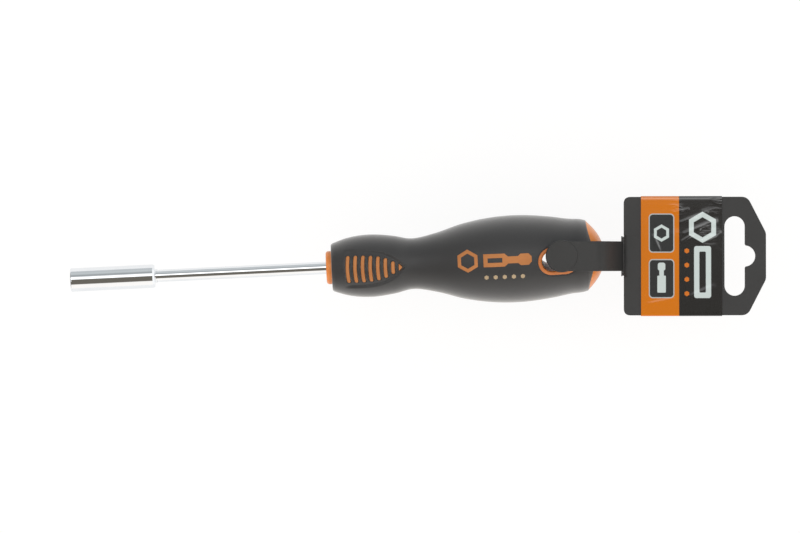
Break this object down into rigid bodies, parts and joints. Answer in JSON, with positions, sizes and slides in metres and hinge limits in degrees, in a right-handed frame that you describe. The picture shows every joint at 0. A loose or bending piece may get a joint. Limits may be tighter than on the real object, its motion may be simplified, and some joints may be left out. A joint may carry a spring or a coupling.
{
  "type": "bit holder screwdriver",
  "caption": "Screwdriver with a chromed hex bit sleeve on a slim shaft, a soft-grip handle with a hanging eye, and a hang tag that swings on a post in the eye.",
  "frame": {"origin": "centre of the magnet's face at the bottom of the hex socket, where the end of a bit rests", "axes": "+X along the tool from the nose of the sleeve to the handle and the tag, +Z along the hanging eye, out of the side that the picture shows"},
  "size_m": [0.2786, 0.0495, 0.0369],
  "materials": {
    "chrome": "bright plated",
    "spring_steel": "bare spring wire",
    "magnet": "nickel plated",
    "core_plastic": "as moulded",
    "orange_plastic": "smooth moulded",
    "soft_grip": "fine matte texture",
    "tag_plastic": "satin moulded",
    "label_film": "printed glossy film"
  },
  "bodies": {
    "driver": {"shaft": "chrome", "bit_sleeve": "chrome", "retaining_ring": "spring_steel", "bit_magnet": "magnet", "inner_core": "core_plastic", "orange_body": "orange_plastic", "grip": "soft_grip"},
    "arm": {"front_arm": "tag_plastic"},
    "snap_arm": {"rear_arm": "tag_plastic"},
    "tag": {"tag_front_leaf": "tag_plastic", "tag_rear_leaf": "tag_plastic", "label_wrap": "label_film"}
  },
  "joints": [
    {"name": "tag_swing", "type": "hinge", "parent": "driver", "child": "arm", "pos_m": [0.182, 0.0001, 0], "axis": [0, 0, 1], "range_deg": [-97.35, 102.65]},
    {"name": "tag_flap", "type": "hinge", "parent": "arm", "child": "tag", "pos_m": [0.20717, -0.00106, 0], "axis": [-0.0462, -0.9989, 0], "range_deg": [-35, 35], "stiffness_Nm_per_rad": 0.05},
    {"name": "rear_arm_release", "type": "hinge", "parent": "arm", "child": "snap_arm", "pos_m": [0.20717, -0.00106, 0], "axis": [-0.0462, -0.9989, 0], "range_deg": [0, 40]}
  ]
}
